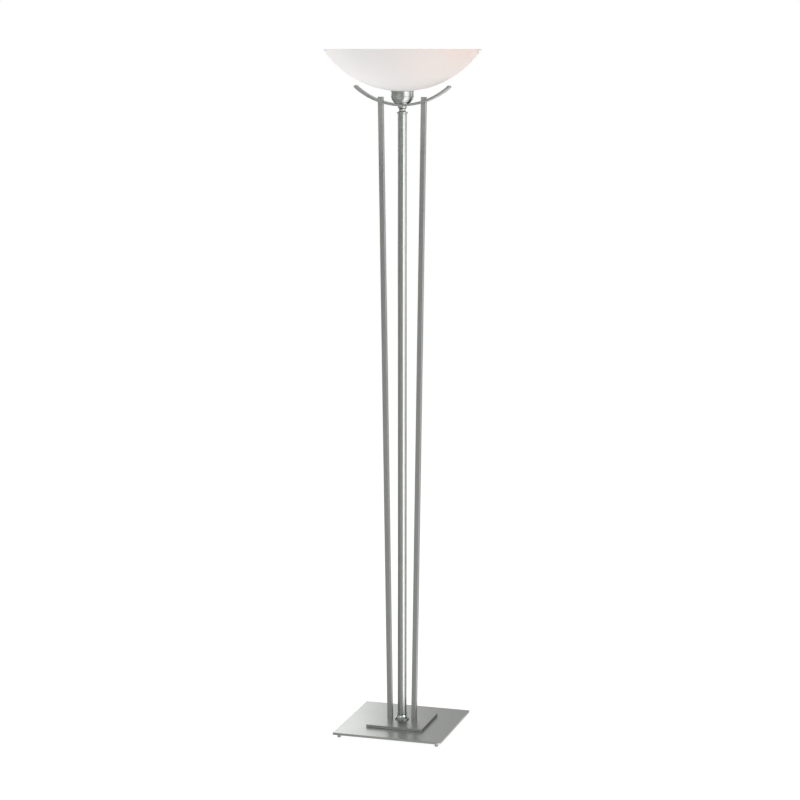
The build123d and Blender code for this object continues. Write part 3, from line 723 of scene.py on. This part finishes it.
class TORCHIERE_OT_column(bpy.types.Operator):
    """Make the neck and foot ring, and dress the tube"""

    bl_idname = "torchiere.column"
    bl_label = "Column"

    def execute(self, context):
        sizes, colours = context.scene.lamp_sizes, context.scene.lamp_colours
        outline = softened(self.neck_outline(sizes), sizes.edge_round)
        neck = turn("neck_turned", outline, satin_nickel(colours, "turned", "turned"), sizes.segments)
        stand_for(neck, "lamp", "satin_nickel", "neck")
        outline = softened(self.ring_outline(sizes), sizes.edge_round)
        ring = turn("foot_ring_spun", outline, bright_nickel(colours), sizes.segments)
        stand_for(ring, "lamp", "bright_nickel", "foot_ring")
        dress(satin_nickel(colours, "tube", "Z"), "centre_tube")
        return {"FINISHED"}

    def neck_outline(self, sizes):
        """Spigot, coned collar, hollow waist and top flange."""
        tube, collar = reach("centre_tube"), reach("neck")
        low, seat, high = bottom("neck"), top("centre_tube"), top("neck")
        collar_low = seat + sizes.neck_collar_rise
        collar_high = collar_low + sizes.neck_collar
        flange_low = high - sizes.neck_flange_height
        waist = (sizes.neck_waist, (collar_high + flange_low) / 2)
        cove = arc_through((sizes.neck_cove, collar_high), waist, (sizes.neck_flange, flange_low))
        return cove + [
            (sizes.neck_flange, high), (sizes.neck_bore, high), (sizes.neck_bore, low),
            (sizes.neck_spigot, low), (sizes.neck_spigot, seat), (tube, seat),
            (collar, collar_low), (collar, collar_high),
        ]

    def ring_outline(self, sizes):
        """Lip, small step, hollow flank and bead."""
        deck, high, foot = bottom("foot_ring"), top("foot_ring"), reach("foot_ring")
        lip, waist = deck + sizes.ring_lip, sizes.ring_waist
        shoulder = (foot - sizes.ring_step, lip + sizes.ring_step / 2)
        bead_low = high - sizes.ring_bead_height
        hollow = sizes.ring_hollow
        mid = ((shoulder[0] + waist) / 2 - hollow, (shoulder[1] + bead_low) / 2 - hollow)
        flank = arc_through(shoulder, mid, (waist, bead_low))
        bead = arc_through((waist, bead_low), (sizes.ring_bead, (bead_low + high) / 2), (waist, high))
        bore = reach("centre_tube") + sizes.fit
        return flank + bead[1:] + [(bore, high), (bore, deck), (foot, deck), (foot, lip)]


class TORCHIERE_OT_frame(bpy.types.Operator):
    """Dress the plates, the leaning bars and the bow"""

    bl_idname = "torchiere.frame"
    bl_label = "Plates, bars and bow"

    def execute(self, context):
        colours = context.scene.lamp_colours
        # The plates' lines are drawn deeper, so that their reflections are drawn out towards the eye
        dress(satin_nickel(colours, "plate", "X", relief=0.15), "base_plate", "top_plate")
        dress(satin_nickel(colours, "bar", "Z"), "left_bar", "right_bar")
        dress(satin_nickel(colours, "strip", "X"), "bow")
        return {"FINISHED"}


class TORCHIERE_OT_feet(bpy.types.Operator):
    """Make the screw-in feet and dress their pads"""

    bl_idname = "torchiere.feet"
    bl_label = "Feet"

    def execute(self, context):
        sizes, colours = context.scene.lamp_sizes, context.scene.lamp_colours
        stud, edge, shoulder = sizes.stud_radius, sizes.foot_edge, bottom("base_plate")
        for corner in CORNERS:
            node, pad = f"foot_{corner}", f"glide_pad_{corner}"
            low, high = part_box(node)
            radius = (high.x - low.x) / 2
            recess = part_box(pad)[1].x - middle(pad).x + sizes.fit
            ledge = top(pad)
            outline = [
                (0, ledge), (recess, ledge), (recess, low.z), (radius - edge, low.z), (radius, low.z + edge),
                (radius, shoulder), (stud, shoulder), (stud, high.z), (0, high.z),
            ]
            outline = softened(outline, sizes.edge_round / 2)
            outline = divided(outline, shoulder, high.z, sizes.stud_pitch / CUT_STEPS)
            thread = {
                "Pitch": sizes.stud_pitch, "Depth": sizes.stud_depth, "Thread start": shoulder,
                "Thread end": high.z, "Thread radius": stud - sizes.stud_depth, "Sharpness": 1.0,
            }
            foot = turn(f"{node}_turned", outline, bright_nickel(colours), sizes.segments // 2, thread)
            foot.data.transform(Matrix.Translation((middle(node).x, middle(node).y, 0)))
            stand_for(foot, f"{corner}_foot", "bright_nickel", node)
            dress(nylon(colours), pad)
        return {"FINISHED"}


class TORCHIERE_OT_lampholder(bpy.types.Operator):
    """Make the threaded lampholder and dress its inner pieces"""

    bl_idname = "torchiere.lampholder"
    bl_label = "Lampholder"

    def execute(self, context):
        sizes, colours = context.scene.lamp_sizes, context.scene.lamp_colours
        self.skirt(sizes, phenolic_resin(colours))
        self.shell(sizes, drawn_brass(colours))
        dress(phenolic_resin(colours), "holder_cap", "shade_ring", "cord_bushing")
        dress(glazed_porcelain(colours), "holder_core")
        dress(drawn_brass(colours), "centre_contact", "terminal_screws")
        return {"FINISHED"}

    def skirt(self, sizes, material):
        """Upper shell with the thread that the clamp ring screws down."""
        low, high, radius = bottom("holder_skirt"), top("holder_skirt"), reach("holder_skirt")
        core, ledge = reach("holder_core") + sizes.fit, top("holder_core")
        mouth = radius - sizes.skirt_wall
        outline = [(radius, low), (radius, high), (mouth, high), (mouth, ledge), (core, ledge), (core, low)]
        outline = divided(softened(outline, sizes.edge_round), low, high, sizes.skirt_pitch / CUT_STEPS)
        thread = {
            "Pitch": sizes.skirt_pitch, "Depth": sizes.skirt_depth, "Thread start": bottom("ring_washer"),
            "Thread end": high, "Thread radius": radius - sizes.skirt_depth, "Sharpness": 0.6,
        }
        skirt = turn("holder_skirt_threaded", outline, material, sizes.segments, thread)
        stand_for(skirt, "lamp", "phenolic", "holder_skirt")

    def shell(self, sizes, material):
        """Screw shell with the rolled thread that takes the bulb."""
        low, high, radius = bottom("screw_shell"), top("screw_shell"), reach("screw_shell")
        wall = sizes.shell_wall
        inner = radius - wall
        opening = inner - sizes.shell_lip
        outline = [
            (opening, low), (radius, low), (radius, high), (inner, high), (inner, low + wall),
            (opening, low + wall),
        ]
        outline = divided(softened(outline, wall / 4), low, high, sizes.cap_pitch / ROLLED_STEPS)
        thread = {
            "Pitch": sizes.cap_pitch, "Depth": -sizes.cap_depth, "Thread start": low + sizes.shell_plain,
            "Thread end": high - sizes.shell_plain / 2, "Thread radius": inner - wall, "Sharpness": 0.0,
        }
        shell = turn("screw_shell_rolled", outline, material, sizes.segments, thread)
        stand_for(shell, "lamp", "brass", "screw_shell")


class TORCHIERE_OT_bulb(bpy.types.Operator):
    """Make the frosted bulb with its rolled screw cap"""

    bl_idname = "torchiere.bulb"
    bl_label = "Bulb"

    def execute(self, context):
        sizes, colours = context.scene.lamp_sizes, context.scene.lamp_colours
        low, high, radius, wall = bottom("bulb_cap"), top("bulb_cap"), reach("bulb_cap"), sizes.cap_wall
        sleeve = radius - wall
        outline = [(radius, low), (radius, high), (sleeve, high), (sleeve, low)]
        outline = divided(softened(outline, wall / 4), low, high, sizes.cap_pitch / ROLLED_STEPS)
        thread = {
            "Pitch": sizes.cap_pitch, "Depth": sizes.cap_depth, "Thread start": low,
            "Thread end": high - sizes.cap_plain, "Thread radius": sleeve - wall, "Sharpness": 0.0,
        }
        cap = turn("bulb_cap_rolled", outline, rolled_aluminium(colours), sizes.segments, thread)
        stand_for(cap, "bulb", "bulb_aluminium", "bulb_cap")
        outline = self.globe_outline(sizes, high, sleeve)
        globe = turn("bulb_globe_blown", outline, frosted_glass(colours), sizes.segments)
        stand_for(globe, "bulb", "frosted_glass", "bulb_globe")
        dress(vitrite(colours), "bulb_insulator")
        dress(drawn_brass(colours), "bulb_contact")
        return {"FINISHED"}

    def globe_outline(self, sizes, seam, sleeve):
        """Outline of the globe's wall: crown, shoulder and neck outside, then back inside."""
        glass, end = sizes.bulb_glass, bottom("bulb_globe")
        neck = [(sleeve, seam), (sleeve, end), (sleeve - glass, end), (sleeve - glass, seam - glass)]
        return neck + self.globe_side(sizes, seam, glass) + self.globe_side(sizes, seam, 0)[::-1]

    def globe_side(self, sizes, seam, shrink):
        """Points from the globe's neck over its shoulder to its crown, drawn in by a wall."""
        radius, lean = reach("bulb_globe") - shrink, sizes.bulb_shoulder
        centre = top("bulb_globe") - reach("bulb_globe")
        shoulder = Vector((radius * math.cos(lean), centre - radius * math.sin(lean)))
        neck = Vector((sizes.bulb_neck - shrink, seam))
        span = (shoulder - neck).length * GLOBE_PULL
        rise = neck + Vector((GLOBE_FLARE, 1)).normalized() * span
        fall = shoulder - Vector((math.sin(lean), math.cos(lean))) * span
        points = []
        for i in range(ARC_STEPS + 1):
            t = i / ARC_STEPS
            near, far = neck * (1 - t) + rise * 3 * t, fall * 3 * (1 - t) + shoulder * t
            points.append(tuple(near * (1 - t) ** 2 + far * t**2))
        for i in range(1, ARC_STEPS):
            a = -lean + (math.pi / 2 + lean) * i / ARC_STEPS
            points.append((radius * math.cos(a), centre + radius * math.sin(a)))
        return points + [(0, centre + radius)]


class TORCHIERE_OT_fasteners(bpy.types.Operator):
    """Dress the screws, nuts, washers, rod and centring ring"""

    bl_idname = "torchiere.fasteners"
    bl_label = "Fasteners"

    def execute(self, context):
        colours = context.scene.lamp_colours
        zinc = zinc_steel(colours)
        dress(zinc, "plate_screws", "bar_screws", "bow_set_screws", "tie_rod")
        dress(zinc, "rod_washer", "rod_nut", "cup_washer", "cup_nut")
        dress(nylon(colours), "tube_ring")
        return {"FINISHED"}


class TORCHIERE_OT_stage(bpy.types.Operator):
    """Set the floor, white surroundings, soft lights and camera"""

    bl_idname = "torchiere.stage"
    bl_label = "Studio stage"

    def execute(self, context):
        scene, settings = context.scene, context.scene.stage_settings
        scene.view_settings.view_transform = "Standard"
        self.surroundings(scene, settings)
        self.floor(scene, settings)
        for name, place, size, power, tint in SOFTBOXES:
            self.softbox(scene, name, place, size, power, tint)
        self.back_card(scene)
        corners = [(x, y, CEILING_LEVEL) for x, y in self.square(CEILING_HALF)]
        self.card(scene, "Ceiling card", corners, [(0, 1, 2, 3)], [CEILING_BRIGHTNESS] * 4)
        self.sweep(scene)
        self.camera(scene, settings)
        return {"FINISHED"}

    def square(self, half):
        """Corners of a square about the lamp's axis."""
        return [(-half, -half), (half, -half), (half, half), (-half, half)]

    def seen(self, tree, hidden, shown):
        """One strength for light that falls on matt surfaces, and another where it is seen or mirrored."""
        path = add_node(tree, "ShaderNodeLightPath").outputs
        rays = path["Is Camera Ray"]
        for kind in ("Is Glossy Ray", "Is Transmission Ray"):
            rays = add_node(tree, "ShaderNodeMath", {0: rays, 1: path[kind]}, operation="MAXIMUM").outputs[0]
        parts = {"Factor": rays, 2: hidden, 3: shown}
        return add_node(tree, "ShaderNodeMix", parts, data_type="FLOAT").outputs[0]

    def surroundings(self, scene, settings):
        """White world: plain ambient light, and pure white where it is seen."""
        scene.world = bpy.data.worlds.new("White studio")
        scene.world.use_nodes = True
        tree = scene.world.node_tree
        tree.nodes.clear()
        strength = self.seen(tree, settings.ambient, 1.0)
        white = add_node(tree, "ShaderNodeBackground", {"Color": linear("#FFFFFF"), "Strength": strength})
        add_node(tree, "ShaderNodeOutputWorld", {"Surface": white.outputs[0]})

    def stage_piece(self, scene, name, points, faces):
        """Mesh of the studio with an empty material, returned with the material's tree."""
        mesh = bpy.data.meshes.new(name)
        mesh.from_pydata(points, [], faces)
        material, tree = bare_material(name)
        mesh.materials.append(material)
        piece = bpy.data.objects.new(name, mesh)
        scene.collection.objects.link(piece)
        return piece, tree

    def floor(self, scene, settings):
        """Pale matt paper floor that shows white and keeps the lamp's shadow."""
        corners = [(x, y, 0) for x, y in self.square(FLOOR_HALF)]
        tree = self.stage_piece(scene, "Floor", corners, [(0, 1, 2, 3)])[1]
        matt = add_node(tree, "ShaderNodeBsdfDiffuse", {"Color": settings.floor_tone}).outputs[0]
        strength = self.seen(tree, settings.floor_light, settings.floor_lift)
        glow = add_node(tree, "ShaderNodeEmission", {"Strength": strength}).outputs[0]
        both = add_node(tree, "ShaderNodeAddShader", {0: matt, 1: glow}).outputs[0]
        add_node(tree, "ShaderNodeOutputMaterial", {"Surface": both})

    def softbox(self, scene, name, place, size, power, tint):
        """Soft square light turned towards the bowl."""
        light = bpy.data.lights.new(name, "AREA")
        light.shape = "SQUARE"
        light.size = size
        light.energy = power
        light.color = linear(tint)[:3]
        box = bpy.data.objects.new(name, light)
        box.location = place
        box.rotation_mode = "QUATERNION"
        box.rotation_quaternion = (Vector((0, 0, CAD_HIGH.z)) - Vector(place)).to_track_quat("-Z", "Y")
        box.visible_camera = box.visible_glossy = False
        scene.collection.objects.link(box)

    def back_card(self, scene):
        """Upright card behind the lamp, graded along its width."""
        points = [(x, BACK_CARD_PLACE, level) for x, _ in BACK_CARD for level in BACK_CARD_LEVELS]
        brightness = [value for _, value in BACK_CARD for _ in BACK_CARD_LEVELS]
        faces = [(i, i + 2, i + 3, i + 1) for i in range(0, len(points) - 2, 2)]
        self.card(scene, "Back card", points, faces, brightness)

    def sweep(self, scene):
        """Glowing sweep round the lamp, on the floor and up, seen only in reflections, that paints the
        metal's shaded reflections and highlights.
        """
        points, brightness, faces = [], [], []
        for degrees, *bands in SWEEP:
            around = math.radians(degrees)
            for radius, level, band in SWEEP_SECTION:
                points.append((radius * math.sin(around), -radius * math.cos(around), level))
                brightness.append(bands[band])
        rows = len(SWEEP_SECTION)
        for first in range(len(points) - rows):
            if (first + 1) % rows:
                faces.append((first, first + 1, first + rows + 1, first + rows))
        self.card(scene, "Sweep", points, faces, brightness)

    def card(self, scene, name, points, faces, brightness):
        """Card of the studio that shows only in reflections and throws no light or shadow."""
        card, tree = self.stage_piece(scene, name, points, faces)
        card.data.attributes.new("brightness", "FLOAT", "POINT").data.foreach_set("value", brightness)
        strength = add_node(tree, "ShaderNodeAttribute", attribute_name="brightness").outputs["Fac"]
        glow = add_node(tree, "ShaderNodeEmission", {"Strength": strength}).outputs[0]
        add_node(tree, "ShaderNodeOutputMaterial", {"Surface": glow})
        card.visible_camera = card.visible_diffuse = card.visible_transmission = card.visible_shadow = False

    def camera(self, scene, settings):
        """Camera at the photograph's viewing angle."""
        data = bpy.data.cameras.new("Camera")
        data.lens = settings.lens
        data.sensor_width = SENSOR_WIDTH
        camera = bpy.data.objects.new("Camera", data)
        around, facing, tilt = settings.azimuth, settings.azimuth + settings.yaw, settings.pitch
        away = settings.distance
        camera.location = (away * math.sin(around), -away * math.cos(around), settings.height)
        level = math.cos(tilt)
        look = Vector((-math.sin(facing) * level, math.cos(facing) * level, -math.sin(tilt)))
        camera.rotation_mode = "QUATERNION"
        camera.rotation_quaternion = look.to_track_quat("-Z", "Y")
        scene.collection.objects.link(camera)
        scene.camera = camera


OPERATORS = (
    TORCHIERE_OT_bowl,
    TORCHIERE_OT_cup,
    TORCHIERE_OT_column,
    TORCHIERE_OT_frame,
    TORCHIERE_OT_feet,
    TORCHIERE_OT_lampholder,
    TORCHIERE_OT_bulb,
    TORCHIERE_OT_fasteners,
    TORCHIERE_OT_stage,
)
GROUPS = {"lamp_sizes": LampSizes, "lamp_colours": LampColours, "stage_settings": StageSettings}


class TORCHIERE_PT_panel(bpy.types.Panel):
    """Sidebar list of the lamp's pieces and settings"""

    bl_label = "Torchiere"
    bl_space_type = "VIEW_3D"
    bl_region_type = "UI"
    bl_category = "Torchiere"

    def draw(self, context):
        for operator in OPERATORS:
            self.layout.operator(operator.bl_idname)
        for name, group in GROUPS.items():
            column = self.layout.column(align=True)
            for field in group.__annotations__:
                column.prop(getattr(context.scene, name), field)


def register():
    for group in GROUPS.values():
        bpy.utils.register_class(group)
    for name, group in GROUPS.items():
        setattr(bpy.types.Scene, name, PointerProperty(type=group))
    for part in (*OPERATORS, TORCHIERE_PT_panel):
        bpy.utils.register_class(part)


def unregister():
    for part in (TORCHIERE_PT_panel, *reversed(OPERATORS)):
        bpy.utils.unregister_class(part)
    for name in GROUPS:
        delattr(bpy.types.Scene, name)
    for group in reversed(GROUPS.values()):
        bpy.utils.unregister_class(group)


def main():
    register()
    bpy.ops.torchiere.bowl()
    bpy.ops.torchiere.cup()
    bpy.ops.torchiere.column()
    bpy.ops.torchiere.frame()
    bpy.ops.torchiere.feet()
    bpy.ops.torchiere.lampholder()
    bpy.ops.torchiere.bulb()
    bpy.ops.torchiere.fasteners()
    bpy.ops.torchiere.stage()


if __name__ == "__main__":
    main()
